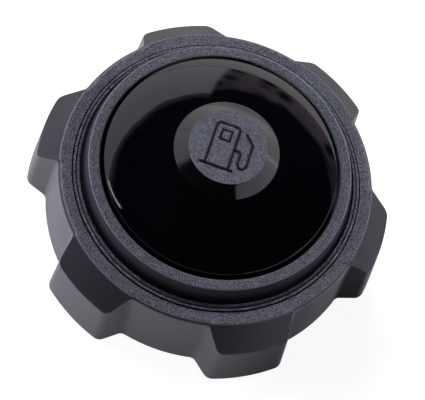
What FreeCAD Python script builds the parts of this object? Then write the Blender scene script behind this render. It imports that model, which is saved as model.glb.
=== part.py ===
import FreeCAD, Part
import math
import os

os.makedirs("parts", exist_ok=True)

# Screw-on fuel filler cap, vented. Millimetres, +Z up.
# Origin: middle of the plane that the skirt's rim stands on. A lobe lies on +X.

# Skirt and thread bore
bore_radius = 28.9         # root of the thread, 2 1/4 inch neck
bore_lead_in = 0.5
skirt_wall = 3.15          # between lobes, at the rim
skirt_draft = 3.95         # degrees
band_height = 16.9         # top of the flat rim band above the rim
band_round = 1.2           # outer edge of the rim band, between lobes
rim_round = 0.6            # outer edge of the rim that the cap stands on

# Grip lobes
lobe_count = 6
lobe_reach = 4.1           # how far a lobe stands out of the skirt
lobe_draft = 4.9
lobe_corner_angle = 12.0   # degrees from a lobe's middle to its sharp corner, at the rim
lobe_flank_angle = 20.0    # degrees between a flank and the lobe's middle line
lobe_flank_draft = 4.0
lobe_corner_round = 2.0
lobe_valley_round = 1.5
lobe_facet_set_back = 0.3  # of the sloped top's upper edge, inside the skirt's wall line
lobe_facet_angle = 46.2    # slope of a lobe's top
lobe_edge_round = 0.3
lobe_wall = 2.4
core_sleeve = 2.2          # wall left between the bore and a lobe's hollow
core_round = 0.7

# Rim band, ledge and collar, from the outside inwards
band_width = 2.58
groove_width = 0.26
groove_depth = 0.45
ridge_width = 0.45
ridge_drop = 0.3           # ridge below the ledge
ledge_step = 0.6           # ledge above the rim band
ledge_width = 0.75
collar_height = 4.1        # above the ledge
collar_draft = 15.0
collar_width = 2.1         # flat top of the collar
collar_round = 0.35

# Deck and dome chamber
deck_thickness = 2.4
deck_hole_radius = 9.0

# Dome cover
dome_gap = 0.65            # dark gap round the dome, at the top
dome_fit = 0.3             # gap at the cover's foot
dome_foot_height = 2.3     # wide foot of the cover's skirt
dome_edge_lift = 0.4       # sharp edge of the dome above the collar's top
dome_height = 7.7
dome_wall = 2.0
dome_edge_round = 0.6
pad_radius = 7.6
pad_lift = 0.35            # pad above the dome's own crown
pad_edge_round = 0.25
pad_flank_lean = 22.3      # degrees, flank steeper than the dome where the pad's edge lies
pad_foot_round = 0.6
snap_height = 1.1          # middle of the snap bead above the deck
snap_bead = 0.45
snap_clearance = 0.15
vent_count = 6
vent_width = 3.0
vent_height = 1.1

# Vent filter
filter_bore_gap = 0.9
filter_rim_gap = 3.484464  # between the filter and the cover's skirt
filter_thickness = 3.0
filter_rib_width = 1.2

# Neck gasket
gasket_thickness = 3.0
gasket_width = 6.6
gasket_pocket = 0.3        # pocket's depth behind the bore's wall
gasket_clearance = 0.1
gasket_round = 0.4

# Splash baffle
baffle_clearance = 0.5
baffle_plate = 1.0
baffle_rim = 1.4
baffle_rib_height = 0.7
baffle_rib_width = 1.2
baffle_rib_count = 6
baffle_slot_width = 2.6
baffle_slot_angle = 30.0
baffle_slot_margin = 1.6   # between the housing's flange and the slots

# Valve housing
flange_thickness = 1.2
flange_overlap = 3.0       # flange beyond the deck's hole
housing_fit = 0.3
housing_wall = 1.5
housing_floor = 1.5
housing_headroom = 1.215   # between the housing's top and the dome above it
seat_height = 0.6
seat_width = 0.7
inlet_radius = 5.0
seal_section = 0.49
seal_squeeze = 0.01
seal_clearance = 0.1       # above and below the seal in its groove

# Pressure valve
disc_gap = 0.4             # flow gap between the disc and the housing
disc_thickness = 1.4
disc_guide_height = 0.7
disc_guide_width = 0.5
boss_radius = 1.8
boss_height = 1.0
port_radius = 0.55
port_circle = 2.5
port_count = 4
pressure_seal_thickness = 0.8
pressure_seal_margin = 0.3
pressure_wire = 0.7
pressure_turns = 5
pressure_coil_inset = 0.9  # spring's outside, inside the disc's edge
pressure_coil_gap = 0.15   # between the spring and its guide rings
spring_cap_thickness = 1.4
spring_cap_lip = 0.3
spring_cap_fit = 0.1
spring_cap_hole = 3.0
cap_guide_height = 0.8

# Vacuum valve
stem_radius = 0.9
stem_fit = 0.06
stem_tail = 0.5
poppet_gap = 0.9           # flow gap between the poppet's head and the inlet
poppet_head = 0.8
vacuum_seal_thickness = 0.5
vacuum_seal_width = 0.8
vacuum_seal_margin = 0.1
vacuum_wire = 0.4
vacuum_turns = 5
vacuum_coil_gap = 0.15
vacuum_spring_length = 3.6
clip_thickness = 0.5
clip_radius = 2.6
clip_neck = 0.25
clip_fit = 0.03
clip_slot = 1.2

# Radii that follow, from the bore outwards and from the skirt inwards
skirt_radius = bore_radius + skirt_wall
lobe_radius = skirt_radius + lobe_reach
skirt_top_radius = skirt_radius - band_height * math.tan(math.radians(skirt_draft))
band_inner_radius = skirt_top_radius - band_width
ridge_outer_radius = band_inner_radius - groove_width
ridge_inner_radius = ridge_outer_radius - ridge_width
ledge_outer_radius = ridge_inner_radius - groove_width
collar_foot_radius = ledge_outer_radius - ledge_width
collar_top_radius = collar_foot_radius - collar_height * math.tan(math.radians(collar_draft))
opening_radius = collar_top_radius - collar_width
facet_radius = skirt_top_radius - lobe_facet_set_back
flank_distance = lobe_radius * math.sin(math.radians(lobe_flank_angle + lobe_corner_angle))
gasket_outer_radius = bore_radius + gasket_pocket - gasket_clearance
gasket_inner_radius = gasket_outer_radius - gasket_width
housing_radius = deck_hole_radius - housing_fit
chamber_radius = housing_radius - housing_wall
flange_radius = deck_hole_radius + flange_overlap
disc_radius = chamber_radius - disc_gap
seat_radius = inlet_radius + seat_width
poppet_radius = inlet_radius - poppet_gap
pressure_coil_radius = disc_radius - pressure_coil_inset - pressure_wire / 2
guide_radius = pressure_coil_radius - pressure_wire / 2 - pressure_coil_gap
vacuum_coil_radius = boss_radius + vacuum_coil_gap + vacuum_wire / 2

# Heights that follow
ledge_z = band_height + ledge_step
collar_z = ledge_z + collar_height
deck_z = band_height
deck_under_z = deck_z - deck_thickness
gasket_under_z = deck_under_z - gasket_thickness
flange_under_z = deck_under_z - flange_thickness
plate_top_z = flange_under_z - baffle_rib_height
plate_under_z = plate_top_z - baffle_plate
floor_z = flange_under_z + housing_floor
seat_z = floor_z + seat_height
disc_z = seat_z + pressure_seal_thickness
disc_top_z = disc_z + disc_thickness
head_top_z = disc_z - vacuum_seal_thickness
clip_z = disc_top_z + vacuum_spring_length
filter_z = deck_z + filter_thickness
seal_z = deck_z - deck_thickness / 2

# Dome, and the valve housing that ends under it
dome_edge_z = collar_z + dome_edge_lift
dome_edge_radius = opening_radius - dome_gap
cover_foot_radius = opening_radius - dome_fit
snap_radius = cover_foot_radius + snap_bead
crown_z = dome_edge_z + dome_height
pad_z = crown_z + pad_lift
dome_sphere = (dome_edge_radius ** 2 + dome_height ** 2) / (2 * dome_height)
inner_sphere = dome_sphere - dome_wall
cover_inner_radius = cover_foot_radius - dome_wall
filter_inner_radius = housing_radius + filter_bore_gap
filter_outer_radius = cover_inner_radius - filter_rim_gap
dome_centre_z = crown_z - dome_sphere
housing_top_z = dome_centre_z + math.sqrt(inner_sphere ** 2 - housing_radius ** 2) - housing_headroom
spring_cap_z = housing_top_z - spring_cap_thickness

up = FreeCAD.Vector(0, 0, 1)
middle = FreeCAD.Vector(0, 0, 0)
cut_margin = 1.0           # how far a cutting tool runs past the face that it opens
same_place = 0.01          # how near an edge lies to the place where it is looked for


def at(radius, z):
    return FreeCAD.Vector(radius, 0, z)


def revolve(points):
    profile = Part.makePolygon([at(r, z) for r, z in points] + [at(*points[0])])
    return Part.Face(profile).revolve(middle, up, 360)


def revolve_edges(edges):
    return Part.Face(Part.Wire(edges)).revolve(middle, up, 360)


def ring(inner, outer, low, high):
    tube = Part.makeCylinder(outer, high - low, FreeCAD.Vector(0, 0, low))
    if inner <= 0:
        return tube
    height = high - low + 2 * cut_margin
    return tube.cut(Part.makeCylinder(inner, height, FreeCAD.Vector(0, 0, low - cut_margin)))


def turned(shape, angle):
    copy = shape.copy()
    copy.rotate(middle, up, angle)
    return copy


def around(shape, count):
    return [turned(shape, 360.0 * k / count) for k in range(count)]


def rings_at(shape, places):
    found = []
    for edge in shape.Edges:
        if edge.Degenerated or edge.Curve.TypeId != "Part::GeomCircle":
            continue
        for radius, z in places:
            if math.hypot(edge.Curve.Radius - radius, edge.Curve.Center.z - z) < same_place:
                found.append(edge)
    return found


def rounded(shape, radius, places):
    return shape.makeFillet(radius, rings_at(shape, places))


def save(shape, name):
    solids = shape.removeSplitter()
    if len(solids.Solids) == 1:
        solids = solids.Solids[0]
    solids.exportStep("parts/" + name + ".step")
    box = solids.BoundBox
    print(name, "solids", len(shape.Solids), "valid", solids.isValid(),
          "volume", round(solids.Volume, 1), "z", round(box.ZMin, 2), round(box.ZMax, 2))


def slope(angle):
    return math.tan(math.radians(angle))


def mirrored(point):
    return FreeCAD.Vector(point.x, -point.y, point.z)


# Arc through two points, round a centre, on the side where the points are
def arc(centre, start, end):
    way = (start + end) * 0.5 - centre
    way.normalize()
    return Part.Arc(start, centre + way * start.distanceToPoint(centre), end).toShape()


def line(start, end):
    return Part.LineSegment(start, end).toShape()


# One flank of a lobe lies at a distance from the lobe's middle and leans towards it outwards.
# Each rounding touches the flank and a circle round the cap's axis.
def rounding(flank, circle, radius, flank_side, circle_side):
    lean = math.radians(lobe_flank_angle)
    out = FreeCAD.Vector(math.sin(lean), math.cos(lean), 0)
    along = FreeCAD.Vector(math.cos(lean), -math.sin(lean), 0)
    off_flank = flank + flank_side * radius
    off_circle = circle + circle_side * radius
    centre = out * off_flank + along * math.sqrt(off_circle ** 2 - off_flank ** 2)
    on_flank = centre - out * (flank_side * radius)
    on_circle = centre * (circle / off_circle)
    return centre, on_flank, on_circle


# Outside of the grip at one height: skirt, valley, flank, corner and lobe, all the way round
def grip_outline(z):
    foot = skirt_radius - z * slope(skirt_draft)
    outer = lobe_radius - z * slope(lobe_draft)
    flank = flank_distance - z * slope(lobe_flank_draft)
    valley, valley_end, valley_start = rounding(flank, foot, lobe_valley_round, 1, 1)
    corner, corner_start, corner_end = rounding(flank, outer, lobe_corner_round, -1, -1)
    next_lobe = FreeCAD.Rotation(up, 360.0 / lobe_count)
    lobe = [
        arc(mirrored(valley), mirrored(valley_start), mirrored(valley_end)),
        line(mirrored(valley_end), mirrored(corner_start)),
        arc(mirrored(corner), mirrored(corner_start), mirrored(corner_end)),
        arc(middle, mirrored(corner_end), corner_end),
        arc(corner, corner_end, corner_start),
        line(corner_start, valley_end),
        arc(valley, valley_end, valley_start),
        arc(middle, valley_start, next_lobe.multVec(mirrored(valley_start))),
    ]
    edges = []
    for k in range(lobe_count):
        edges += [turned(edge, 360.0 * k / lobe_count) for edge in lobe]
    outline = Part.Wire(edges)
    outline.translate(FreeCAD.Vector(0, 0, z))
    return outline


# Hollow of one lobe at one height, a wall's thickness inside the grip and in as far as the bore
def core_outline(z):
    outer = lobe_radius - lobe_wall - z * slope(lobe_draft)
    flank = flank_distance - lobe_wall - z * slope(lobe_flank_draft)
    corner, corner_start, corner_end = rounding(flank, outer, core_round, -1, -1)
    heel = rounding(flank, bore_radius, 0, 1, 1)[0]
    outline = Part.Wire([
        arc(middle, mirrored(corner_end), corner_end),
        arc(corner, corner_end, corner_start),
        line(corner_start, heel),
        line(heel, mirrored(heel)),
        line(mirrored(heel), mirrored(corner_start)),
        arc(mirrored(corner), mirrored(corner_start), mirrored(corner_end)),
    ])
    outline.translate(FreeCAD.Vector(0, 0, z))
    return outline


# Everything above the sloped lobe tops, or above the same slope a wall's thickness lower
def above_facets(sunk):
    drop = sunk / math.cos(math.radians(lobe_facet_angle))
    start = facet_radius - (cut_margin if sunk else 0)
    rise = (facet_radius - start) * slope(lobe_facet_angle)
    high = band_height - drop + rise
    end = lobe_radius + cut_margin
    low = band_height - drop - (end - facet_radius) * slope(lobe_facet_angle)
    return revolve([(start, high), (end, low), (end, band_height + cut_margin),
                    (start, band_height + cut_margin)])


def level_edges(shape, z):
    return [e for e in shape.Edges
            if abs(e.BoundBox.ZMin - z) < same_place and abs(e.BoundBox.ZMax - z) < same_place]


# Edges round the sloped lobe tops
def facet_edges(grip):
    steep = slope(lobe_facet_angle)
    found = []
    for face in grip.Faces:
        places = [vertex.Point for vertex in face.Vertexes]
        lifts = [p.z + (math.hypot(p.x, p.y) - facet_radius) * steep for p in places]
        if all(abs(lift - band_height) < same_place for lift in lifts):
            found += face.Edges
    return found


def grip_shell():
    grip = Part.makeLoft([grip_outline(0), grip_outline(band_height)], True, True)
    grip = grip.makeFillet(band_round, level_edges(grip, band_height))
    grip = grip.makeFillet(rim_round, level_edges(grip, 0))
    grip = grip.cut(turned(above_facets(0), 180.0 / lobe_count))
    return grip.makeFillet(lobe_edge_round, facet_edges(grip))


def lobe_hollows():
    core = Part.makeLoft([core_outline(0), core_outline(band_height)], True, True)
    sleeve = ring(0, bore_radius + core_sleeve, -cut_margin, band_height + cut_margin)
    return around(core.cut([above_facets(lobe_wall), sleeve]), lobe_count)


def collar_and_ledge():
    root = band_height - cut_margin
    ridge_z = ledge_z - ridge_drop
    collar = revolve([(opening_radius, root), (opening_radius, collar_z), (collar_top_radius, collar_z),
                      (collar_foot_radius, ledge_z), (ledge_outer_radius, ledge_z),
                      (ledge_outer_radius, root)])
    collar = rounded(collar, collar_round, [(opening_radius, collar_z), (collar_top_radius, collar_z),
                                            (collar_foot_radius, ledge_z)])
    return [collar, ring(ridge_inner_radius, ridge_outer_radius, root, ridge_z)]


def fine_grooves():
    low = band_height - groove_depth
    high = collar_z
    return [ring(ledge_outer_radius, ridge_inner_radius, low, high),
            ring(ridge_outer_radius, band_inner_radius, low, high)]


def underside_space():
    mouth = bore_radius + bore_lead_in + cut_margin
    pocket = bore_radius + gasket_pocket
    return revolve([(0, -cut_margin), (mouth, -cut_margin), (bore_radius, bore_lead_in),
                    (bore_radius, gasket_under_z), (pocket, gasket_under_z), (pocket, deck_under_z),
                    (0, deck_under_z)])


def snap_profile(foot, tip, height):
    z = deck_z + snap_height
    rise = tip - foot
    return revolve([(foot - cut_margin, z - height / 2 - rise), (foot, z - height / 2 - rise),
                    (tip, z - height / 2), (tip, z + height / 2), (foot, z + height / 2 + rise),
                    (foot - cut_margin, z + height / 2 + rise)])


def cap_body():
    body = grip_shell().fuse(collar_and_ledge())
    body = body.cut(fine_grooves() + lobe_hollows() + [underside_space()])
    body = body.cut(ring(0, deck_hole_radius, deck_under_z - cut_margin, deck_z + cut_margin))
    return body.cut(snap_profile(opening_radius, snap_radius + snap_clearance, snap_clearance * 2))


def dome_cover():
    lean = math.radians(pad_flank_lean) + math.asin(pad_radius / dome_sphere)
    lift = pad_z - dome_centre_z
    across = pad_radius * math.cos(lean) - lift * math.sin(lean)
    run = -across - math.sqrt(across ** 2 - pad_radius ** 2 - lift ** 2 + dome_sphere ** 2)
    foot_r = pad_radius + run * math.cos(lean)
    foot_z = pad_z - run * math.sin(lean)
    inner_z = dome_centre_z + math.sqrt(inner_sphere ** 2 - cover_inner_radius ** 2)
    land_z = deck_z + dome_foot_height
    crown = FreeCAD.Vector(0, 0, dome_centre_z)
    cover = revolve_edges([
        line(at(0, pad_z), at(pad_radius, pad_z)),
        line(at(pad_radius, pad_z), at(foot_r, foot_z)),
        arc(crown, at(foot_r, foot_z), at(dome_edge_radius, dome_edge_z)),
        line(at(dome_edge_radius, dome_edge_z), at(dome_edge_radius, land_z)),
        line(at(dome_edge_radius, land_z), at(cover_foot_radius, land_z - dome_gap + dome_fit)),
        line(at(cover_foot_radius, land_z - dome_gap + dome_fit), at(cover_foot_radius, deck_z)),
        line(at(cover_foot_radius, deck_z), at(cover_inner_radius, deck_z)),
        line(at(cover_inner_radius, deck_z), at(cover_inner_radius, inner_z)),
        arc(crown, at(cover_inner_radius, inner_z), at(0, dome_centre_z + inner_sphere)),
        line(at(0, dome_centre_z + inner_sphere), at(0, pad_z)),
    ])
    cover = rounded(cover, dome_edge_round, [(dome_edge_radius, dome_edge_z)])
    cover = rounded(cover, pad_foot_round, [(foot_r, foot_z)])
    cover = rounded(cover, pad_edge_round, [(pad_radius, pad_z)])
    rib_middle = (filter_inner_radius + filter_outer_radius) / 2
    rib_top = dome_centre_z + math.sqrt(inner_sphere ** 2 - rib_middle ** 2) + dome_wall / 2
    rib = ring(rib_middle - filter_rib_width / 2, rib_middle + filter_rib_width / 2, filter_z, rib_top)
    cover = cover.fuse([rib, snap_profile(cover_foot_radius, snap_radius, 0.0)])
    notch = Part.makeBox(dome_wall + 2 * cut_margin, vent_width, vent_height,
                         FreeCAD.Vector(cover_inner_radius - cut_margin, -vent_width / 2, deck_z))
    return cover.cut(around(notch, vent_count))


def neck_gasket():
    gasket = ring(gasket_inner_radius, gasket_outer_radius, gasket_under_z, deck_under_z)
    corners = [(r, z) for r in (gasket_inner_radius, gasket_outer_radius)
               for z in (gasket_under_z, deck_under_z)]
    return rounded(gasket, gasket_round, corners)


def splash_baffle():
    outer = gasket_inner_radius - baffle_clearance
    slot_inner = flange_radius + baffle_slot_margin
    slot_height = baffle_plate + 2 * cut_margin
    slot_base = FreeCAD.Vector(0, 0, plate_under_z - cut_margin)
    rib = Part.makeBox(flange_radius - inlet_radius, baffle_rib_width, flange_under_z - plate_under_z,
                       FreeCAD.Vector(inlet_radius, -baffle_rib_width / 2, plate_under_z))
    slot = Part.makeCylinder(slot_inner + baffle_slot_width, slot_height, slot_base, up, baffle_slot_angle)
    slot = slot.cut(Part.makeCylinder(slot_inner, slot_height, slot_base))
    between = 180.0 / baffle_rib_count - baffle_slot_angle / 2
    plate = ring(0, outer, plate_under_z, plate_top_z)
    baffle = plate.fuse([ring(outer - baffle_rim, outer, plate_under_z, deck_under_z)])
    baffle = baffle.fuse(around(rib, baffle_rib_count))
    return baffle.cut(around(turned(slot, between), baffle_rib_count))


def vent_filter():
    return ring(filter_inner_radius, filter_outer_radius, deck_z, filter_z)


def valve_housing():
    groove = deck_hole_radius - 2 * (seal_section + seal_squeeze)
    groove_half = seal_section + seal_clearance
    cap_seat = chamber_radius + spring_cap_lip
    return revolve([(inlet_radius, flange_under_z), (flange_radius, flange_under_z),
                    (flange_radius, deck_under_z), (housing_radius, deck_under_z),
                    (housing_radius, seal_z - groove_half), (groove, seal_z - groove_half),
                    (groove, seal_z + groove_half), (housing_radius, seal_z + groove_half),
                    (housing_radius, housing_top_z), (cap_seat, housing_top_z),
                    (cap_seat, spring_cap_z), (chamber_radius, spring_cap_z),
                    (chamber_radius, floor_z), (seat_radius, floor_z), (seat_radius, seat_z),
                    (inlet_radius, seat_z)])


def housing_seal():
    middle_radius = deck_hole_radius - seal_squeeze - seal_section
    return Part.makeTorus(middle_radius, seal_section, FreeCAD.Vector(0, 0, seal_z), up)


def pressure_disc():
    bore = stem_radius + stem_fit
    plate = ring(bore, disc_radius, disc_z, disc_top_z)
    guide = ring(guide_radius - disc_guide_width, guide_radius, disc_z, disc_top_z + disc_guide_height)
    boss = ring(bore, boss_radius, disc_z, disc_top_z + boss_height)
    port = Part.makeCylinder(port_radius, disc_thickness + 2 * cut_margin,
                             FreeCAD.Vector(port_circle, 0, disc_z - cut_margin))
    return plate.fuse([guide, boss]).cut(around(port, port_count))


def pressure_seal():
    return ring(inlet_radius - pressure_seal_margin, disc_radius - pressure_seal_margin, seat_z, disc_z)


def spring_cap():
    plate = ring(spring_cap_hole, chamber_radius + spring_cap_lip - spring_cap_fit, spring_cap_z,
                 housing_top_z)
    guide = ring(guide_radius - disc_guide_width, guide_radius, spring_cap_z - cap_guide_height,
                 housing_top_z)
    return plate.fuse([guide])


# Coil spring with ends ground flat between two seats
def coil_spring(radius, wire, turns, low, high):
    pitch = (high - low) / turns
    path = Part.makeHelix(pitch, high - low, radius)
    start = FreeCAD.Vector(radius, 0, 0)
    tangent = FreeCAD.Vector(0, 2 * math.pi * radius, pitch)
    section = Part.Wire([Part.Circle(start, tangent, wire / 2).toShape()])
    coil = Part.Wire(path.Edges).makePipeShell([section], True, True)
    coil.translate(FreeCAD.Vector(0, 0, low))
    return coil.common(ring(0, radius + wire, low, high))


def pressure_spring():
    return coil_spring(pressure_coil_radius, pressure_wire, pressure_turns, disc_top_z, spring_cap_z)


def vacuum_spring():
    return coil_spring(vacuum_coil_radius, vacuum_wire, vacuum_turns, disc_top_z, clip_z)


def vacuum_poppet():
    head = ring(0, poppet_radius, head_top_z - poppet_head, head_top_z)
    stem = ring(0, stem_radius, head_top_z - poppet_head, clip_z + clip_thickness + stem_tail)
    neck = ring(stem_radius - clip_neck, stem_radius + cut_margin, clip_z, clip_z + clip_thickness)
    return head.fuse([stem]).cut(neck)


def vacuum_seal():
    outer = poppet_radius - vacuum_seal_margin
    return ring(outer - vacuum_seal_width, outer, head_top_z, disc_z)


def stem_clip():
    clip = ring(stem_radius - clip_neck + clip_fit, clip_radius, clip_z, clip_z + clip_thickness)
    slot = Part.makeBox(clip_radius + cut_margin, clip_slot, clip_thickness + 2 * cut_margin,
                        FreeCAD.Vector(0, -clip_slot / 2, clip_z - cut_margin))
    return clip.cut(slot)


save(cap_body(), "cap_body")
save(dome_cover(), "dome_cover")
save(neck_gasket(), "neck_gasket")
save(splash_baffle(), "splash_baffle")
save(vent_filter(), "vent_filter")
save(valve_housing(), "valve_housing")
save(housing_seal(), "housing_seal")
save(pressure_disc(), "pressure_disc")
save(pressure_seal(), "pressure_seal")
save(pressure_spring(), "pressure_spring")
save(spring_cap(), "spring_cap")
save(vacuum_poppet(), "vacuum_poppet")
save(vacuum_seal(), "vacuum_seal")
save(vacuum_spring(), "vacuum_spring")
save(stem_clip(), "stem_clip")
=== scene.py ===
import bmesh
import bpy
import math
from mathutils import Matrix, Vector


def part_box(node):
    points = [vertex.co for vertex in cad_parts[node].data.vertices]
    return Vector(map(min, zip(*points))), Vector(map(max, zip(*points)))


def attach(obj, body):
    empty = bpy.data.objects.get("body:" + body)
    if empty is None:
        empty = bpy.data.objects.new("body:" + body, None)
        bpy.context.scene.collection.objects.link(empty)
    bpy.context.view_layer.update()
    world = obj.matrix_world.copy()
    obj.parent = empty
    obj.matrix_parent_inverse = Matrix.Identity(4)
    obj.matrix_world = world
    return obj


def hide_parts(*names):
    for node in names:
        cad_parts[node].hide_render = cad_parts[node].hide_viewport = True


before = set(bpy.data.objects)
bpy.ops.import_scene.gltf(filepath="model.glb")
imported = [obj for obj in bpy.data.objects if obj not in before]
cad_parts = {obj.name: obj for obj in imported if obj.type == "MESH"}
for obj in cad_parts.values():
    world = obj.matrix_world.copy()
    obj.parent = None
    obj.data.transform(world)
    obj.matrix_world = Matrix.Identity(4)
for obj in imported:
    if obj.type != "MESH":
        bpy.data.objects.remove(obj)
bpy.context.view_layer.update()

# Fuel filler cap: lobed black grip, raised collar, glossy domed cover, vent valve inside.
# Metres, the CAD frame: rim on the floor, dome up, a lobe on +X.
mm = 0.001
print("frame loaded,", len(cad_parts), "nodes")


# Shader node helpers

def addNode(tree, kind, links=None, **settings):
    made = tree.nodes.new(kind)
    for name, value in settings.items():
        setattr(made, name, value)
    for name, value in (links or {}).items():
        if isinstance(value, bpy.types.NodeSocket):
            tree.links.new(value, made.inputs[name])
        else:
            made.inputs[name].default_value = value
    return made


def calc(tree, operation, first, second=0.0, third=0.0):
    return addNode(tree, "ShaderNodeMath", {0: first, 1: second, 2: third}, operation=operation).outputs[0]


def times(tree, first, *others):
    for other in others:
        first = calc(tree, "MULTIPLY", first, other)
    return first


def ramp(tree, value, low, high, start=0.0, end=1.0):
    links = {"Value": value, "From Min": low, "From Max": high, "To Min": start, "To Max": end}
    return addNode(tree, "ShaderNodeMapRange", links, interpolation_type="SMOOTHSTEP").outputs["Result"]


def above(tree, value, limit, soft):
    return ramp(tree, value, limit - soft, limit + soft)


def below(tree, value, limit, soft):
    return ramp(tree, value, limit - soft, limit + soft, 1.0, 0.0)


def within(tree, value, low, high, soft):
    # 1 between low and high, fading outside them
    return times(tree, ramp(tree, value, low - soft, low), ramp(tree, value, high, high + soft, 1.0, 0.0))


def blendColour(tree, factor, first, second, mode="MIX"):
    made = addNode(tree, "ShaderNodeMix", data_type="RGBA", blend_type=mode)
    colourSockets = [s for s in made.inputs if s.type == "RGBA"]
    for socket, value in ((made.inputs[0], factor), (colourSockets[0], first), (colourSockets[1], second)):
        if isinstance(value, bpy.types.NodeSocket):
            tree.links.new(value, socket)
        else:
            socket.default_value = value
    return [s for s in made.outputs if s.type == "RGBA"][0]


def levelPart(tree, place):
    # the place without its height: its length is the radius
    flat = addNode(tree, "ShaderNodeVectorMath", {0: place, 1: (1.0, 1.0, 0.0)}, operation="MULTIPLY")
    return flat.outputs[0]


def bumpNormal(tree, height, depth, strength):
    links = {"Height": height, "Distance": depth, "Strength": strength}
    return addNode(tree, "ShaderNodeBump", links).outputs[0]


def newGroup(name, inputs, outputs):
    group = bpy.data.node_groups.new(name, "ShaderNodeTree")
    for socketName, kind, value in inputs:
        socket = group.interface.new_socket(socketName, in_out="INPUT", socket_type=kind)
        if value is not None:
            socket.default_value = value
    for socketName, kind in outputs:
        group.interface.new_socket(socketName, in_out="OUTPUT", socket_type=kind)
    return group, group.nodes.new("NodeGroupInput"), group.nodes.new("NodeGroupOutput")


def useGroup(tree, group, links):
    return addNode(tree, "ShaderNodeGroup", links, node_tree=group)


def newMaterial(name, **constants):
    material = bpy.data.materials.new(name)
    material.use_nodes = True
    tree = material.node_tree
    shader = tree.nodes["Principled BSDF"]
    for socketName, value in constants.items():
        shader.inputs[socketName.replace("_", " ")].default_value = value
    place = addNode(tree, "ShaderNodeTexCoord").outputs["Object"]
    return material, tree, shader, place


def dress(tree, shader, colour, roughness, normal):
    tree.links.new(colour, shader.inputs["Base Color"])
    tree.links.new(roughness, shader.inputs["Roughness"])
    tree.links.new(normal, shader.inputs["Normal"])


# Shader groups that several materials share

sparkle = {
    "fineDetail": 2.0,
    "fineRoughness": 0.6,
    "coarseScale": 0.45,       # of the fine grain's scale
    "coarseDetail": 1.0,
    "coarseShare": 0.25,
    "glintFrom": 0.38,
    "glintTo": 0.64,
    "darkest": 0.12,           # the tint never falls under it
}

touch = {
    "cloudDetail": 4.0,
    "cloudFrom": 0.35,
    "cloudTo": 0.65,
    "streakScale": (900.0, 160.0, 500.0),
    "streakTurn": (0.0, 0.3, 0.9),
    "streakDetail": 3.0,
    "scuffFrom": 0.62,
    "scuffTo": 0.72,
}


def makeSparkleGrain():
    # spark-eroded grain: fine even bumps, and a tint that darkens some specks and lightens others; the
    # lightened specks are painted glints
    group, ins, outs = newGroup(
        "sparkleGrain",
        [("Place", "NodeSocketVector", None), ("Grain", "NodeSocketFloat", 0.2 * mm),
         ("Contrast", "NodeSocketFloat", 0.5)],
        [("Height", "NodeSocketFloat"), ("Tint", "NodeSocketFloat")])
    place = ins.outputs["Place"]
    perMetre = calc(group, "DIVIDE", 1.0, ins.outputs["Grain"])
    fine = addNode(group, "ShaderNodeTexNoise",
                   {"Vector": place, "Scale": perMetre, "Detail": sparkle["fineDetail"],
                    "Roughness": sparkle["fineRoughness"]})
    coarse = addNode(group, "ShaderNodeTexNoise",
                     {"Vector": place, "Scale": times(group, perMetre, sparkle["coarseScale"]),
                      "Detail": sparkle["coarseDetail"]})
    both = times(group, fine.outputs[0], 1.0 - sparkle["coarseShare"])
    both = calc(group, "MULTIPLY_ADD", coarse.outputs[0], sparkle["coarseShare"], both)
    group.links.new(both, outs.inputs["Height"])
    # painted glints: specks of the grain made lighter in colour, others darker as grain tone
    glint = ramp(group, both, sparkle["glintFrom"], sparkle["glintTo"], -1.0, 1.0)
    tint = calc(group, "MULTIPLY_ADD", glint, ins.outputs["Contrast"], 1.0)
    group.links.new(calc(group, "MAXIMUM", tint, sparkle["darkest"]), outs.inputs["Tint"])
    return group


def makeHandling():
    # what hands leave on it: cloudy patches and faint scuffs
    group, ins, outs = newGroup(
        "handling",
        [("Place", "NodeSocketVector", None), ("Patch", "NodeSocketFloat", 9 * mm)],
        [("Cloud", "NodeSocketFloat"), ("Scuff", "NodeSocketFloat")])
    place = ins.outputs["Place"]
    cloud = addNode(group, "ShaderNodeTexNoise",
                    {"Vector": place, "Scale": calc(group, "DIVIDE", 1.0, ins.outputs["Patch"]),
                     "Detail": touch["cloudDetail"]})
    group.links.new(ramp(group, cloud.outputs[0], touch["cloudFrom"], touch["cloudTo"]), outs.inputs["Cloud"])
    stretched = addNode(group, "ShaderNodeMapping",
                        {"Vector": place, "Scale": touch["streakScale"], "Rotation": touch["streakTurn"]})
    streak = addNode(group, "ShaderNodeTexNoise",
                     {"Vector": stretched.outputs[0], "Scale": 1.0, "Detail": touch["streakDetail"]})
    scuff = ramp(group, streak.outputs[0], touch["scuffFrom"], touch["scuffTo"])
    group.links.new(scuff, outs.inputs["Scuff"])
    return group


sparkleGrain = makeSparkleGrain()
handling = makeHandling()
print("shader groups built")


# Materials, one for each finish

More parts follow.
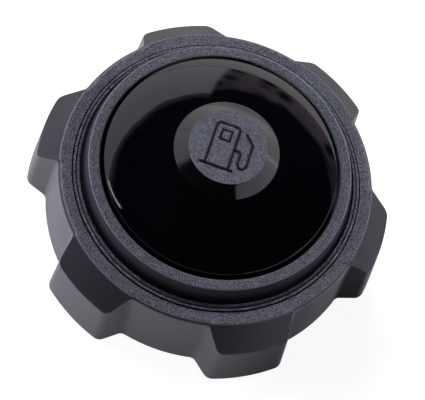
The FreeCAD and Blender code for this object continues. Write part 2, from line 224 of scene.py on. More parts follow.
grip = {
    "top": (0.066, 0.067, 0.087, 1.0),         # grained faces that look up
    "side": (0.084, 0.085, 0.104, 1.0),        # satin walls of the lobes and the skirt
    "lobeTopShaded": (0.007, 0.007, 0.012, 1.0),     # smooth sloped tops of the lobes, coloured darker: painted shade
    "collarWall": (0.022, 0.022, 0.031, 1.0),
    "corner": (0.0006, 0.0006, 0.0012, 1.0),   # painted shade at the collar's foot, on the ledge and in the grooves
    "scuff": (0.16, 0.16, 0.17, 1.0),
    "scuffShare": 0.05,
    "grain": 0.13 * mm,
    "contrast": 2.1,
    "bump": 0.10 * mm,
    "bumpStrength": 0.8,
    "sideBump": 0.15,                          # share of the bump that the walls keep
    "roughness": 0.42,
    "topRougher": 0.10,
    "cloudRougher": 0.06,
    "shine": 0.5,
    "lobeShinier": 0.15,
    "paintedShadeDuller": 0.4,
    "topNormal": (0.82, 0.95),                 # upward part of the normal on the faces that look up
    "lobeNormal": (0.58, 0.78),                # and on the lobes' sloped tops
    "lobeNormalFade": 0.12,
    "lobeStart": (30.35 * mm, 30.60 * mm),     # radii over which a lobe's top begins
    "lobeUnderBand": (16.60 * mm, 16.85 * mm), # heights over which it ends at the band
    "lobeEdge": (11.6 * mm, 12.7 * mm),        # heights of its lower border
    "lobeEdgeWaver": 0.5 * mm,
    "collarRadii": (24.6 * mm, 26.84 * mm),    # the collar's outer wall
    "collarHeights": (17.5 * mm, 21.33 * mm),
    "collarFade": 0.08 * mm,
    "collarShadeHeights": (18.1 * mm, 20.9 * mm),     # heights over which its painted shade thins out
    "ledgeRadii": (26.84 * mm, 27.33 * mm),
    "ledgeFade": 0.04 * mm,
    "ledgePaintedShade": 0.22,
    "grooveRadii": (27.33 * mm, 28.31 * mm),   # both grooves, with the ridge between them
    "grooveFade": 0.02 * mm,
    "grooveTop": (17.04 * mm, 17.14 * mm),
}


def makeGripPlastic():
    material, tree, shader, place = newMaterial("gripPlastic")
    height = addNode(tree, "ShaderNodeSeparateXYZ", {"Vector": place}).outputs["Z"]
    level = levelPart(tree, place)
    radius = addNode(tree, "ShaderNodeVectorMath", {0: level}, operation="LENGTH").outputs["Value"]
    faces = addNode(tree, "ShaderNodeNewGeometry")
    slope = addNode(tree, "ShaderNodeSeparateXYZ", {"Vector": faces.outputs["Normal"]}).outputs["Z"]
    flatness = addNode(tree, "ShaderNodeSeparateXYZ", {"Vector": faces.outputs["True Normal"]}).outputs["Z"]
    flatFrom, flatTo = grip["topNormal"]
    top = addNode(tree, "ShaderNodeMapRange",
                  {"Value": flatness, "From Min": flatFrom, "From Max": flatTo}).outputs["Result"]
    grain = useGroup(tree, sparkleGrain,
                     {"Place": place, "Grain": grip["grain"], "Contrast": grip["contrast"]})
    worn = useGroup(tree, handling, {"Place": place})

    # where each finish and each painted shade lies
    uneven = calc(tree, "MULTIPLY_ADD", worn.outputs["Cloud"], grip["lobeEdgeWaver"], height)
    lobe = times(tree, within(tree, slope, *grip["lobeNormal"], grip["lobeNormalFade"]),
                 ramp(tree, radius, *grip["lobeStart"]),
                 ramp(tree, height, *grip["lobeUnderBand"], 1.0, 0.0),
                 ramp(tree, uneven, *grip["lobeEdge"]))
    collar = times(tree, within(tree, radius, *grip["collarRadii"], grip["collarFade"]),
                   within(tree, height, *grip["collarHeights"], grip["collarFade"]))
    ledge = times(tree, within(tree, radius, *grip["ledgeRadii"], grip["ledgeFade"]), grip["ledgePaintedShade"])
    groove = times(tree, within(tree, radius, *grip["grooveRadii"], grip["grooveFade"]),
                   ramp(tree, height, *grip["grooveTop"], 1.0, 0.0))

    colour = blendColour(tree, top, grip["side"], grip["top"])
    speckle = blendColour(tree, top, (1, 1, 1, 1), grain.outputs["Tint"])
    colour = blendColour(tree, 1.0, colour, speckle, "MULTIPLY")
    colour = blendColour(tree, times(tree, worn.outputs["Scuff"], grip["scuffShare"]), colour, grip["scuff"])
    # painted shade: the lobes' sloped tops are coloured darker; their extra shine is their own smooth finish
    colour = blendColour(tree, lobe, colour, grip["lobeTopShaded"])
    # painted shade: the collar's outer wall darkens towards its foot
    unshaded = ramp(tree, height, *grip["collarShadeHeights"])
    colour = blendColour(tree, collar, colour, blendColour(tree, unshaded, grip["corner"], grip["collarWall"]))
    # painted shade on the ledge beside the collar and in the grooves
    colour = blendColour(tree, calc(tree, "MAXIMUM", ledge, groove), colour, grip["corner"])

    rough = calc(tree, "MULTIPLY_ADD", top, grip["topRougher"], grip["roughness"])
    rough = calc(tree, "MULTIPLY_ADD", worn.outputs["Cloud"], grip["cloudRougher"], rough)
    shine = calc(tree, "MULTIPLY_ADD", lobe, grip["lobeShinier"], grip["shine"])
    # the painted shade also takes some shine away
    paintedShadeZone = calc(tree, "MAXIMUM", collar, groove)
    shine = calc(tree, "MULTIPLY_ADD", paintedShadeZone, -grip["paintedShadeDuller"], shine)
    tree.links.new(shine, shader.inputs["Specular IOR Level"])
    deep = calc(tree, "MULTIPLY_ADD", top, 1.0 - grip["sideBump"], grip["sideBump"])
    bumps = times(tree, grain.outputs["Height"], deep)
    dress(tree, shader, colour, rough, bumpNormal(tree, bumps, grip["bump"], grip["bumpStrength"]))
    return material


gloss = {
    "colour": (0.0004, 0.0004, 0.0010, 1.0),
    "patch": (0.0008, 0.0008, 0.0016, 1.0),
    "patchSize": 14 * mm,
    "scuff": (0.1, 0.1, 0.1, 1.0),
    "scuffShare": 0.004,
    "shine": 0.6,
    "roughness": 0.035,
    "cloudRougher": 0.02,
    "ripplesPerMetre": 60.0,
    "rippleDetail": 1.0,
    "rippleDepth": 0.02 * mm,
    "rippleStrength": 0.5,
}


def makeCoverGloss():
    material, tree, shader, place = newMaterial("coverGloss", Specular_IOR_Level=gloss["shine"])
    worn = useGroup(tree, handling, {"Place": place, "Patch": gloss["patchSize"]})
    colour = blendColour(tree, worn.outputs["Cloud"], gloss["colour"], gloss["patch"])
    scuffed = times(tree, worn.outputs["Scuff"], gloss["scuffShare"])
    colour = blendColour(tree, scuffed, colour, gloss["scuff"])
    rough = calc(tree, "MULTIPLY_ADD", worn.outputs["Cloud"], gloss["cloudRougher"], gloss["roughness"])
    ripple = addNode(tree, "ShaderNodeTexNoise",
                     {"Vector": place, "Scale": gloss["ripplesPerMetre"], "Detail": gloss["rippleDetail"]})
    normal = bumpNormal(tree, ripple.outputs[0], gloss["rippleDepth"], gloss["rippleStrength"])
    dress(tree, shader, colour, rough, normal)
    return material


pad = {
    "colour": (0.078, 0.079, 0.102, 1.0),
    "grain": 0.12 * mm,
    "contrast": 1.5,
    "roughness": 0.45,
    "cloudRougher": 0.08,
    "bump": 0.08 * mm,
    "bumpStrength": 0.7,
}


def makePadGrain():
    material, tree, shader, place = newMaterial("padGrain")
    grain = useGroup(tree, sparkleGrain, {"Place": place, "Grain": pad["grain"], "Contrast": pad["contrast"]})
    worn = useGroup(tree, handling, {"Place": place})
    colour = blendColour(tree, 1.0, pad["colour"], grain.outputs["Tint"], "MULTIPLY")
    rough = calc(tree, "MULTIPLY_ADD", worn.outputs["Cloud"], pad["cloudRougher"], pad["roughness"])
    normal = bumpNormal(tree, grain.outputs["Height"], pad["bump"], pad["bumpStrength"])
    dress(tree, shader, colour, rough, normal)
    return material


flank = {
    "colour": (0.0008, 0.0008, 0.0012, 1.0),
    "patch": (0.0018, 0.0018, 0.0026, 1.0),
    "patchSize": 5 * mm,
    "shine": 0.65,
    "roughness": 0.10,
    "scuffRougher": 0.05,
    "lean": 0.27,              # 0 keeps the real slope, 0.27 shades it as 45 degrees
}


def makePadFlank():
    # polished like the dome; its shading leans outward, as a steeper slope would reflect the room
    material, tree, shader, place = newMaterial("padFlank", Specular_IOR_Level=flank["shine"])
    worn = useGroup(tree, handling, {"Place": place, "Patch": flank["patchSize"]})
    colour = blendColour(tree, worn.outputs["Cloud"], flank["colour"], flank["patch"])
    rough = calc(tree, "MULTIPLY_ADD", worn.outputs["Scuff"], flank["scuffRougher"], flank["roughness"])
    outward = addNode(tree, "ShaderNodeVectorMath", {0: levelPart(tree, place)}, operation="NORMALIZE")
    face = addNode(tree, "ShaderNodeNewGeometry").outputs["Normal"]
    leaning = addNode(tree, "ShaderNodeVectorMath",
                      {0: outward.outputs[0], 1: (flank["lean"],) * 3, 2: face}, operation="MULTIPLY_ADD")
    turned = addNode(tree, "ShaderNodeVectorMath", {0: leaning.outputs[0]}, operation="NORMALIZE")
    dress(tree, shader, colour, rough, turned.outputs[0])
    return material


# the smaller finishes: colour, darker patches, grain size, roughness, bump depth, metallic
plainFinishes = {
    "symbolInk": ((0.004, 0.004, 0.005, 1), (0.007, 0.007, 0.008, 1), 0.3 * mm, 0.40, 0.01 * mm, 0.0),
    "sealRubber": ((0.022, 0.022, 0.022, 1), (0.034, 0.033, 0.032, 1), 0.25 * mm, 0.62, 0.03 * mm, 0.0),
    "naturalPlastic": ((0.66, 0.64, 0.58, 1), (0.56, 0.54, 0.48, 1), 0.4 * mm, 0.45, 0.02 * mm, 0.0),
    "valvePlastic": ((0.09, 0.09, 0.10, 1), (0.07, 0.07, 0.08, 1), 0.4 * mm, 0.40, 0.02 * mm, 0.0),
    "filterFelt": ((0.40, 0.38, 0.34, 1), (0.28, 0.27, 0.24, 1), 0.5 * mm, 0.95, 0.25 * mm, 0.0),
    "springSteel": ((0.52, 0.52, 0.54, 1), (0.44, 0.44, 0.46, 1), 0.2 * mm, 0.28, 0.01 * mm, 1.0),
}

plainWear = {
    "contrast": 0.15,
    "scuffRougher": 0.08,
    "bumpStrength": 0.6,
}


def makePlain(name, colour, dark, grainSize, roughness, bumpDepth, metallic):
    material, tree, shader, place = newMaterial(name, Metallic=metallic)
    grain = useGroup(tree, sparkleGrain,
                     {"Place": place, "Grain": grainSize, "Contrast": plainWear["contrast"]})
    worn = useGroup(tree, handling, {"Place": place})
    base = blendColour(tree, worn.outputs["Cloud"], colour, dark)
    base = blendColour(tree, 1.0, base, grain.outputs["Tint"], "MULTIPLY")
    rough = calc(tree, "MULTIPLY_ADD", worn.outputs["Scuff"], plainWear["scuffRougher"], roughness)
    dress(tree, shader, base, rough,
          bumpNormal(tree, grain.outputs["Height"], bumpDepth, plainWear["bumpStrength"]))
    return material


gripPlastic = makeGripPlastic()
coverGloss = makeCoverGloss()
padGrain = makePadGrain()
padFlank = makePadFlank()
finishes = {name: makePlain(name, *values) for name, values in plainFinishes.items()}
print("materials built")


# Mesh helpers

def smoothCopy(name, node, values):
    # a merged, smooth-shaded copy of a CAD node
    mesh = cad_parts[node].data.copy()
    mesh.name = name
    joined = bmesh.new()
    joined.from_mesh(mesh)
    bmesh.ops.remove_doubles(joined, verts=joined.verts, dist=values["merge"])
    joined.to_mesh(mesh)
    joined.free()
    stored = mesh.attributes.get("custom_normal")   # these blend over sharp edges
    if stored:
        mesh.attributes.remove(stored)
    mesh.materials.clear()
    mesh.polygons.foreach_set("use_smooth", [True] * len(mesh.polygons))
    mesh.set_sharp_from_angle(angle=math.radians(values["edgeAngle"]))
    piece = bpy.data.objects.new(name, mesh)
    bpy.context.scene.collection.objects.link(piece)
    # wide flat faces keep their own direction beside narrow roundings
    weighted = piece.modifiers.new("weighted", "WEIGHTED_NORMAL")
    weighted.keep_sharp = True
    weighted.weight = values["flatWeight"]
    evaluated = piece.evaluated_get(bpy.context.evaluated_depsgraph_get())
    finished = bpy.data.meshes.new_from_object(evaluated)
    piece.modifiers.clear()
    piece.data = finished
    return piece


def settle(piece, body, material=None, nodes=()):
    if material:
        piece.data.materials.append(material)
    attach(piece, body)
    if nodes:
        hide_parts(*nodes)
    return piece


# Grip moulding

gripMesh = {
    "merge": 0.002 * mm,
    "edgeAngle": 28.0,          # degrees, sharper edges stay crisp
    "flatWeight": 80,
}

gripBody = smoothCopy("gripBody", "cap_body", gripMesh)
settle(gripBody, "cap", gripPlastic, ["cap_body"])
print("grip moulding:", len(gripBody.data.polygons), "faces")


# Dome cover: one profile turned round the axis

cover = {
    "padRadius": 7.6 * mm,
    "padSunk": 0.05 * mm,       # the symbol's strokes fill this up
    "padRound": 0.25 * mm,
    "flankAngle": 34.0,         # degrees
    "footRound": 0.6 * mm,
    "sphere": 37.412 * mm,
    "crownDrop": 0.35 * mm,     # dome's own crown under the pad's top
    "edgeRadius": 22.64 * mm,
    "edgeRound": 0.32 * mm,
    "footRadius": 23.084 * mm,
    "footStep": 2.3 * mm,
    "footSlope": 0.35 * mm,
    "wall": 2.0 * mm,
    "domeSteps": 40,
    "innerSteps": 16,
    "edgeSteps": 10,
    "turns": 256,
    "creaseAngle": 30.0,        # degrees
    "padSkin": 0.02 * mm,       # faces this near the pad's top have its finish
    "flankReach": 0.3 * mm,     # the flank's finish runs so far past its foot
}


def arcPoints(centre, radius, start, end, steps):
    return [(centre[0] + radius * math.cos(start + (end - start) * k / steps),
             centre[1] + radius * math.sin(start + (end - start) * k / steps)) for k in range(steps + 1)]


def softCorner(before, corner, after, radius, steps=6):
    # replaces a corner of the profile by an arc that touches both its sides
    a = (Vector(before) - Vector(corner)).normalized()
    b = (Vector(after) - Vector(corner)).normalized()
    half = a.angle(b) / 2
    reach = radius / math.tan(half)
    centre = Vector(corner) + (a + b).normalized() * (radius / math.sin(half))
    start = Vector(corner) + a * reach - centre
    end = Vector(corner) + b * reach - centre
    turn = start.angle_signed(end)
    points = []
    for k in range(steps + 1):
        way = Matrix.Rotation(-turn * k / steps, 2) @ start
        points.append(tuple(centre + way))
    return points


def coverProfile():
    low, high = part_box("dome_cover")
    padZ = high.z - cover["padSunk"]
    crownZ = high.z - cover["crownDrop"]
    centreZ = crownZ - cover["sphere"]
    lean = math.radians(cover["flankAngle"])
    lift = padZ - centreZ
    across = cover["padRadius"] * math.cos(lean) - lift * math.sin(lean)
    inside = across ** 2 - cover["padRadius"] ** 2 - lift ** 2 + cover["sphere"] ** 2
    run = -across - math.sqrt(inside)
    foot = (cover["padRadius"] + run * math.cos(lean), padZ - run * math.sin(lean))
    edge = (cover["edgeRadius"], centreZ + math.sqrt(cover["sphere"] ** 2 - cover["edgeRadius"] ** 2))
    footAngle = math.atan2(foot[1] - centreZ, foot[0])
    edgeAngle = math.atan2(edge[1] - centreZ, edge[0])
    shell = arcPoints((0, centreZ), cover["sphere"], footAngle, edgeAngle, cover["domeSteps"])
    skirtZ = low.z + cover["footStep"]
    innerSphere = cover["sphere"] - cover["wall"]
    innerRadius = cover["footRadius"] - cover["wall"]
    innerAngle = math.acos(innerRadius / innerSphere)
    outline = [(0.0, padZ), (cover["padRadius"] - cover["padRound"] * 2, padZ)]
    outline += softCorner((0, padZ), (cover["padRadius"], padZ), foot, cover["padRound"])
    outline += softCorner((cover["padRadius"], padZ), foot, shell[1], cover["footRound"])
    outline += shell[3:-2]
    outline += softCorner(shell[-2], edge, (edge[0], skirtZ), cover["edgeRound"], cover["edgeSteps"])
    outline += [(edge[0], skirtZ), (cover["footRadius"], skirtZ - cover["footSlope"]),
                (cover["footRadius"], low.z), (innerRadius, low.z)]
    outline += arcPoints((0, centreZ), innerSphere, innerAngle, math.pi / 2, cover["innerSteps"])
    return outline, padZ, foot[0]


def turnedMesh(name, outline, count, creaseAngle):
    # the first and the last point lie on the axis
    body = outline[1:-1]
    verts = [(0.0, 0.0, outline[0][1])]
    for k in range(count):
        angle = 2 * math.pi * k / count
        verts += [(r * math.cos(angle), r * math.sin(angle), z) for r, z in body]
    verts.append((0.0, 0.0, outline[-1][1]))
    size = len(body)
    faces = []
    for k in range(count):
        here = 1 + k * size
        there = 1 + ((k + 1) % count) * size
        faces.append((0, here, there))
        faces += [(here + i, here + i + 1, there + i + 1, there + i) for i in range(size - 1)]
        faces.append((here + size - 1, len(verts) - 1, there + size - 1))
    mesh = bpy.data.meshes.new(name)
    mesh.from_pydata(verts, [], faces)
    mesh.polygons.foreach_set("use_smooth", [True] * len(mesh.polygons))
    mesh.set_sharp_from_angle(angle=math.radians(creaseAngle))
    return mesh


def makeDomeCover():
    outline, padZ, flankFoot = coverProfile()
    mesh = turnedMesh("domeCover", outline, cover["turns"], cover["creaseAngle"])
    for material in (coverGloss, padGrain, padFlank):
        mesh.materials.append(material)
    for face in mesh.polygons:
        reach = max(math.hypot(*mesh.vertices[i].co.xy) for i in face.vertices)
        if face.center.z > padZ - cover["padSkin"] and reach < cover["padRadius"]:
            face.material_index = 1
        elif reach < flankFoot + cover["flankReach"] and face.normal.z > 0:
            face.material_index = 2
    piece = bpy.data.objects.new("domeCover", mesh)
    bpy.context.scene.collection.objects.link(piece)
    return settle(piece, "cap", None, ["dome_cover"]), padZ


domeCover, padTop = makeDomeCover()
print("dome cover:", len(domeCover.data.polygons), "faces")


# Geometry Nodes: a ridge or a strip swept along a path

def makeSweepTree():
    tree = bpy.data.node_groups.new("sweptRidge", "GeometryNodeTree")
    for name, kind in (("Geometry", "NodeSocketGeometry"), ("Root Width", "NodeSocketFloat"),
                       ("Crest Width", "NodeSocketFloat"), ("Height", "NodeSocketFloat"),
                       ("Profile Turn", "NodeSocketFloat"), ("Taper", "NodeSocketFloat"),
                       ("End Share", "NodeSocketFloat"), ("Material", "NodeSocketMaterial")):
        tree.interface.new_socket(name, in_out="INPUT", socket_type=kind)
    tree.interface.new_socket("Geometry", in_out="OUTPUT", socket_type="NodeSocketGeometry")
    ins = tree.nodes.new("NodeGroupInput")
    outs = tree.nodes.new("NodeGroupOutput")
    path = addNode(tree, "GeometryNodeMeshToCurve", {"Mesh": ins.outputs["Geometry"]})
    upright = addNode(tree, "GeometryNodeSetCurveNormal", {"Curve": path.outputs[0]}, mode="Z_UP")
    # full size in the middle, shrinking to the end share within the taper at each end
    along = addNode(tree, "GeometryNodeSplineParameter").outputs["Factor"]
    fromEnd = calc(tree, "MINIMUM", along, calc(tree, "SUBTRACT", 1.0, along))
    share = addNode(tree, "ShaderNodeMapRange",
                    {"Value": fromEnd, "From Max": ins.outputs["Taper"],
                     "To Min": ins.outputs["End Share"]})
    profile = addNode(tree, "GeometryNodeCurvePrimitiveQuadrilateral",
                      {"Bottom Width": ins.outputs["Root Width"], "Top Width": ins.outputs["Crest Width"],
                       "Height": ins.outputs["Height"], "Offset": 0.0}, mode="TRAPEZOID")
    turn = addNode(tree, "ShaderNodeCombineXYZ", {"Z": ins.outputs["Profile Turn"]})
    turned = addNode(tree, "GeometryNodeTransform",
                     {"Geometry": profile.outputs[0], "Rotation": turn.outputs[0]})
    swept = addNode(tree, "GeometryNodeCurveToMesh",
                    {"Curve": upright.outputs[0], "Profile Curve": turned.outputs[0],
                     "Scale": share.outputs["Result"], "Fill Caps": True})
    real = addNode(tree, "GeometryNodeRealizeInstances", {"Geometry": swept.outputs[0]})
    dressed = addNode(tree, "GeometryNodeSetMaterial",
                      {"Geometry": real.outputs[0], "Material": ins.outputs["Material"]})
    tree.links.new(dressed.outputs[0], outs.inputs[0])
    return tree


sweptRidge = makeSweepTree()
sweepMerge = 0.001 * mm


def sweep(name, paths, values):
    # paths: lists of points; the result is one plain mesh at the origin
    verts = []
    edges = []
    for points in paths:
        first = len(verts)
        verts += points
        edges += [(first + k, first + k + 1) for k in range(len(points) - 1)]
    mesh = bpy.data.meshes.new(name + "Path")
    mesh.from_pydata(verts, edges, [])
    holder = bpy.data.objects.new(name + "Path", mesh)
    bpy.context.scene.collection.objects.link(holder)
    modifier = holder.modifiers.new("sweep", "NODES")
    modifier.node_group = sweptRidge
    keys = {item.name: item.identifier for item in sweptRidge.interface.items_tree if item.in_out == "INPUT"}
    for label, value in values.items():
        modifier[keys[label]] = value
    evaluated = holder.evaluated_get(bpy.context.evaluated_depsgraph_get())
    plain = bpy.data.meshes.new_from_object(evaluated)
    plain.name = name
    bpy.data.objects.remove(holder)
    joined = bmesh.new()
    joined.from_mesh(plain)
    bmesh.ops.remove_doubles(joined, verts=joined.verts, dist=sweepMerge)
    bmesh.ops.recalc_face_normals(joined, faces=joined.faces)
    joined.to_mesh(plain)
    joined.free()
    piece = bpy.data.objects.new(name, plain)
    bpy.context.scene.collection.objects.link(piece)
    return piece


thread = {
    "rootRadius": 28.9 * mm,
    "depth": 1.4 * mm,
    "sunk": 0.15 * mm,          # root inside the bore's wall
    "rootWidth": 2.6 * mm,
    "crestWidth": 1.1 * mm,
    "pitch": 4.3 * mm,
    "turns": 1.6,
    "start": 2.4 * mm,
    "steps": 220,
    "taper": 0.06,              # share of the length over which an end runs out
    "endShare": 0.12,
}


def makeThreadRidge():
    radius = thread["rootRadius"] + thread["sunk"] - thread["depth"] / 2
    points = []
    for k in range(thread["steps"] + 1):
        angle = 2 * math.pi * thread["turns"] * k / thread["steps"]
        z = thread["start"] + thread["pitch"] * thread["turns"] * k / thread["steps"]
        points.append((radius * math.cos(angle), radius * math.sin(angle), z))
    piece = sweep("threadRidge", [points], {
        "Root Width": thread["rootWidth"], "Crest Width": thread["crestWidth"],
        "Height": thread["depth"] + thread["sunk"], "Profile Turn": math.pi / 2,
        "End Share": thread["endShare"], "Taper": thread["taper"], "Material": gripPlastic})
    return settle(piece, "cap")


symbol = {
    "stroke": 0.62 * mm,
    "crest": 0.9,               # width of a stroke's top, share of its root
    "thickness": 0.05 * mm,
    "fill": 0.98,               # share of the sunk depth that a stroke fills
    "taper": 0.001,
    "scale": 1.30,              # millimetres for each unit of the outline
    "pump": [[(-2.6, -3.4), (-2.6, 3.1), (-2.2, 3.5), (0.5, 3.5), (0.9, 3.1), (0.9, -3.4)],
             [(-3.4, -3.5), (1.7, -3.5)],
             [(-1.6, 0.9), (-1.6, 2.5), (-0.1, 2.5), (-0.1, 0.9), (-1.6, 0.9)],
             [(0.9, -0.2), (1.7, -0.2), (2.0, -0.5), (2.0, -2.2), (2.4, -2.7), (2.9, -2.7), (3.3, -2.2),
              (3.3, 1.4), (1.9, 2.9)]],
}


def makePadSymbol():
    middle = padTop + symbol["thickness"] / 2
    size = symbol["scale"] * mm
    paths = [[(x * size, y * size, middle) for x, y in line] for line in symbol["pump"]]
    piece = sweep("padSymbol", paths, {
        "Root Width": symbol["stroke"], "Crest Width": symbol["stroke"] * symbol["crest"],
        "Height": symbol["thickness"] * symbol["fill"], "Profile Turn": 0.0, "End Share": 1.0,
        "Taper": symbol["taper"], "Material": finishes["symbolInk"]})
    return settle(piece, "cap")


threadRidge = makeThreadRidge()
padSymbol = makePadSymbol()
print("thread ridge:", len(threadRidge.data.polygons), "faces")
print("pad symbol:", len(padSymbol.data.polygons), "faces")


# Studio: floor, sky and soft lamps

paper = {
    "size": 3.0,
    "drop": 0.03 * mm,             # keeps the floor off the rim's own face
    "colour": (0.26, 0.26, 0.26, 1.0),
    "fibre": (0.24, 0.24, 0.24, 1.0),
    "fibresPerMetre": 300.0,
    "fibreDetail": 3.0,
    "roughness": 0.9,
    "shine": 0.1,
    "boost": 0.93,                 # makes the floor white where the camera sees it
    "glow": 0.36,                  # and lighter in reflections
    "shadePlace": (31 * mm, -19 * mm, 0.0),   # middle of the painted shadow on the floor beside the cap
    "shadeStart": 8 * mm,
    "shadeEnd": 30 * mm,
    "shadeLevel": 0.08,
}


def makeFloor():
    half = paper["size"] / 2
    z = -paper["drop"]
    mesh = bpy.data.meshes.new("studioFloor")
    mesh.from_pydata([(-half, -half, z), (half, -half, z), (half, half, z), (-half, half, z)], [],
                     [(0, 1, 2, 3)])
    floor = bpy.data.objects.new("studioFloor", mesh)
    bpy.context.scene.collection.objects.link(floor)
    material, tree, shader, place = newMaterial(
        "floorPaper", Roughness=paper["roughness"], Specular_IOR_Level=paper["shine"],
        Emission_Color=(1, 1, 1, 1))
    fibres = addNode(tree, "ShaderNodeTexNoise",
                     {"Vector": place, "Scale": paper["fibresPerMetre"], "Detail": paper["fibreDetail"]})
    colour = blendColour(tree, fibres.outputs[0], paper["colour"], paper["fibre"])
    # painted shadow: the floor's colour and its glow in reflections darken round this spot
    away = addNode(tree, "ShaderNodeVectorMath", {0: place, 1: paper["shadePlace"]}, operation="DISTANCE")
    shade = ramp(tree, away.outputs["Value"], paper["shadeStart"], paper["shadeEnd"],
                 paper["shadeLevel"], 1.0)
    colour = blendColour(tree, shade, (0.0, 0.0, 0.0, 1.0), colour)
    tree.links.new(colour, shader.inputs["Base Color"])
    path = addNode(tree, "ShaderNodeLightPath")
    seen = calc(tree, "MAXIMUM", path.outputs["Is Camera Ray"], path.outputs["Is Transmission Ray"])
    glow = times(tree, path.outputs["Is Glossy Ray"], paper["glow"], shade)
    glow = calc(tree, "MULTIPLY_ADD", seen, paper["boost"], glow)
    tree.links.new(glow, shader.inputs["Emission Strength"])
    # the floor is only there from above, so that the underside can be looked at
    under = addNode(tree, "ShaderNodeNewGeometry").outputs["Backfacing"]
    clear = addNode(tree, "ShaderNodeBsdfTransparent")
    mixed = addNode(tree, "ShaderNodeMixShader", {0: under, 1: shader.outputs[0], 2: clear.outputs[0]})
    tree.links.new(mixed.outputs[0], tree.nodes["Material Output"].inputs["Surface"])
    mesh.materials.append(material)


# the room that the gloss reflects: angles in degrees, azimuth from +X towards +Y, each with its softness
room = {
    "level": 0.006,
    "tint": (0.92, 0.94, 1.06, 1.0),
    "wobbleScale": 5.0,
    "wobbleDetail": 3.0,
    "wobble": 5.0,                 # degrees by which the zones' upper edges waver
    "wallTop": (25.8, 0.6),        # bright wall at the back left
    "wallBorder": 5.0,             # depth of its dim upper border
    "wallBorderLevel": 0.30,
    "wallStart": (97.0, 1.5),
    "wallSlant": 0.33,             # its start leans, degrees of azimuth for each of elevation
    "wallEnd": (198.0, 6.0),
    "wallLevel": 0.95,
    "blindsTop": (10.5, 1.5),      # blinds at the right: thin bands low down
    "blindsEnd": (45.0, 7.0),
    "bandsPerDegree": 2.0,
    "bandEdge": (-0.3, 0.7),
    "bandDark": 0.25,
    "blindsLevel": 0.22,
    "dimStart": (46.0, 10.0),      # dim room at the back right, up to the bright wall
    "dimSlope": 0.22,              # its top rises so much for each degree of azimuth
    "dimTop": (-2.0, 2.5),
    "dimShapes": 6.0,
    "dimShapeEdge": (0.12, 0.60),
    "dimShapeLevel": 0.65,
    "dimLevel": 0.5,
    "dimTint": (1.0, 0.60, 0.90, 1.0),
    "nearStart": (208.0, 15.0),    # near side, low down
    "nearTop": (13.0, 9.0),
    "nearLevel": 0.30,
    "rightStart": (-49.0, 1.5),    # near right, seen in reflections only
    "rightEnd": (32.0, 4.0),
    "rightTop": (24.0, 1.5),
    "rightSlope": 0.42,            # past the front its top falls so much for each degree
    "rightFall": (19.0, 1.5),
    "rightLevel": 0.9,
    "streakStart": (186.5, 1.5),   # narrow light seen at the dome's left edge
    "streakEnd": (205.0, 2.0),
    "streakSlope": 0.41,
    "streakDrop": 51.7,
    "streakHalf": (0.8, 0.3),
    "streakLevel": 5.0,
    "firstAzimuth": -70.0,         # where the turn is cut open
}


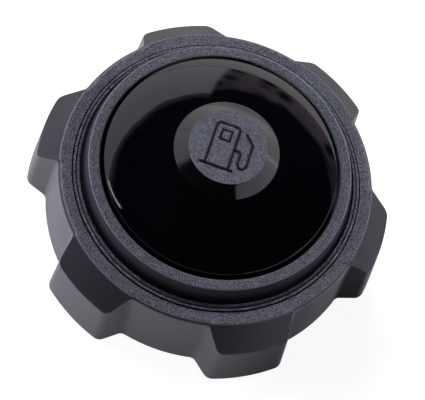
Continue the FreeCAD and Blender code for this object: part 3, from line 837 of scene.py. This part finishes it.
def makeSky():
    world = bpy.data.worlds.new("studioSky")
    bpy.context.scene.world = world
    world.use_nodes = True
    tree = world.node_tree
    tree.nodes.clear()
    way = addNode(tree, "ShaderNodeTexCoord").outputs["Generated"]
    axes = addNode(tree, "ShaderNodeSeparateXYZ", {"Vector": way})
    rise = times(tree, calc(tree, "ARCSINE", axes.outputs["Z"]), math.degrees(1))
    azimuth = times(tree, calc(tree, "ARCTAN2", axes.outputs["Y"], axes.outputs["X"]), math.degrees(1))
    azimuth = calc(tree, "WRAP", azimuth, room["firstAzimuth"] + 360.0, room["firstAzimuth"])
    noise = addNode(tree, "ShaderNodeTexNoise",
                    {"Vector": way, "Scale": room["wobbleScale"], "Detail": room["wobbleDetail"]})
    wobble = calc(tree, "MULTIPLY_ADD", noise.outputs[0], room["wobble"], -room["wobble"] / 2)
    edge = calc(tree, "ADD", rise, wobble)

    leaning = calc(tree, "MULTIPLY_ADD", rise, -room["wallSlant"], azimuth)
    started = above(tree, leaning, *room["wallStart"])
    wallTop = room["wallTop"][0]
    border = ramp(tree, edge, wallTop, wallTop + room["wallBorder"], room["wallBorderLevel"], 0.0)
    wall = times(tree, started, below(tree, azimuth, *room["wallEnd"]),
                 calc(tree, "MAXIMUM", below(tree, edge, *room["wallTop"]), border))

    bands = ramp(tree, calc(tree, "SINE", times(tree, edge, room["bandsPerDegree"])), *room["bandEdge"],
                 room["bandDark"], 1.0)
    blinds = times(tree, below(tree, azimuth, *room["blindsEnd"]), below(tree, edge, *room["blindsTop"]),
                   bands)

    stepped = calc(tree, "MULTIPLY_ADD", azimuth, -room["dimSlope"], edge)
    shapes = addNode(tree, "ShaderNodeTexVoronoi", {"Vector": way, "Scale": room["dimShapes"]}, feature="F1")
    dim = times(tree, calc(tree, "SUBTRACT", 1.0, started), above(tree, azimuth, *room["dimStart"]),
                below(tree, stepped, *room["dimTop"]),
                ramp(tree, shapes.outputs["Distance"], *room["dimShapeEdge"], 0.0, room["dimShapeLevel"]))

    near = times(tree, above(tree, azimuth, *room["nearStart"]), below(tree, rise, *room["nearTop"]))

    paths = addNode(tree, "ShaderNodeLightPath")
    falling = calc(tree, "MULTIPLY_ADD", azimuth, room["rightSlope"], rise)
    right = times(tree, above(tree, azimuth, *room["rightStart"]), below(tree, azimuth, *room["rightEnd"]),
                  below(tree, rise, *room["rightTop"]), below(tree, falling, *room["rightFall"]),
                  paths.outputs["Is Glossy Ray"])

    offLine = calc(tree, "ADD", rise, room["streakDrop"])
    offLine = calc(tree, "ABSOLUTE", calc(tree, "MULTIPLY_ADD", azimuth, -room["streakSlope"], offLine))
    streak = times(tree, below(tree, offLine, *room["streakHalf"]),
                   above(tree, azimuth, *room["streakStart"]), below(tree, azimuth, *room["streakEnd"]))

    level = room["level"]
    for zone, name in ((wall, "wall"), (blinds, "blinds"), (near, "near"), (dim, "dim"), (right, "right"),
                       (streak, "streak")):
        level = calc(tree, "MULTIPLY_ADD", zone, room[name + "Level"], level)
    tint = blendColour(tree, dim, room["tint"], room["dimTint"])
    lit = addNode(tree, "ShaderNodeBackground", {"Color": tint, "Strength": level})
    plain = addNode(tree, "ShaderNodeBackground", {"Color": (1, 1, 1, 1), "Strength": 1.0})
    mixed = addNode(tree, "ShaderNodeMixShader",
                    {0: paths.outputs["Is Camera Ray"], 1: lit.outputs[0], 2: plain.outputs[0]})
    out = addNode(tree, "ShaderNodeOutputWorld")
    tree.links.new(mixed.outputs[0], out.inputs["Surface"])


# place, height of the point it faces, size, power
lamps = {
    "backLamp": ((-0.263, 0.539, 1.06), 0.020, 0.28, 12.8),
    "topLamp": ((0.15, 0.05, 1.1), 0.020, 0.70, 0.8),
    "leftLamp": ((-0.885, 0.16, 0.10), 0.010, 0.30, 13.0),
    "rightLamp": ((0.74, 0.49, 0.20), 0.012, 0.36, 13.0),
    "nearLamp": ((-0.72, -0.57, 0.10), 0.008, 0.30, 5.4),
}


def makeLamp(name, place, targetHeight, size, power):
    lamp = bpy.data.lights.new(name, "AREA")
    lamp.shape = "SQUARE"
    lamp.size = size
    lamp.energy = power
    holder = bpy.data.objects.new(name, lamp)
    holder.location = place
    back = Vector(place) - Vector((0, 0, targetHeight))
    holder.rotation_euler = back.to_track_quat("Z", "Y").to_euler()
    holder.visible_glossy = False
    bpy.context.scene.collection.objects.link(holder)


makeFloor()
makeSky()
for lampName, lampValues in lamps.items():
    makeLamp(lampName, *lampValues)
print("studio set")


# Camera: the photo's own viewing angle, found from the ellipses of the collar and the dome

view = {
    "unit": 23.4 * mm,            # radius of the dome's opening, the photo's measuring unit
    "distance": 16.0,             # units
    "elevation": 65.2766,         # degrees
    "azimuth": -92.9,
    "roll": -22.0189,
    "aside": (-0.07159, -0.28554),   # axis point under the picture's middle, right and up, units
    "collarTop": 21.6 * mm,
    "lens": 165.44,
    "sensor": 36.0,
    "nearest": 0.01,              # metres, where the camera starts to see
}


def makeCamera():
    tip = math.radians(90 - view["elevation"])
    roll = math.radians(view["roll"])
    right = Vector((math.cos(roll), -math.sin(roll) * math.cos(tip), -math.sin(roll) * math.sin(tip)))
    above = Vector((math.sin(roll), math.cos(roll) * math.cos(tip), math.cos(roll) * math.sin(tip)))
    back = Vector((0, -math.sin(tip), math.cos(tip)))
    spin = Matrix.Rotation(math.radians(view["azimuth"] + 90), 3, "Z")
    right, above, back = spin @ right, spin @ above, spin @ back
    away = right * view["aside"][0] + above * view["aside"][1] + back * view["distance"]
    place = away * view["unit"] + Vector((0, 0, view["collarTop"]))
    camera = bpy.data.cameras.new("photoCamera")
    camera.sensor_width = view["sensor"]
    camera.lens = view["lens"]
    camera.clip_start = view["nearest"]
    holder = bpy.data.objects.new("photoCamera", camera)
    turn = Matrix((right, above, back)).transposed().to_4x4()
    holder.matrix_world = Matrix.Translation(place) @ turn
    bpy.context.scene.collection.objects.link(holder)
    bpy.context.scene.camera = holder


makeCamera()
bpy.context.scene.view_settings.view_transform = "Standard"
print("camera set")

# Finishes of the pieces that stay as the CAD made them
finishOf = {
    "neck_gasket": "sealRubber", "splash_baffle": "naturalPlastic", "vent_filter": "filterFelt",
    "valve_housing": "naturalPlastic", "housing_seal": "sealRubber", "pressure_disc": "valvePlastic",
    "pressure_seal": "sealRubber", "pressure_spring": "springSteel", "spring_cap": "naturalPlastic",
    "vacuum_poppet": "valvePlastic", "vacuum_seal": "sealRubber", "vacuum_spring": "springSteel",
    "stem_clip": "springSteel",
}
for node, finishName in finishOf.items():
    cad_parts[node].data.materials.clear()
    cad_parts[node].data.materials.append(finishes[finishName])
print("finishes on")
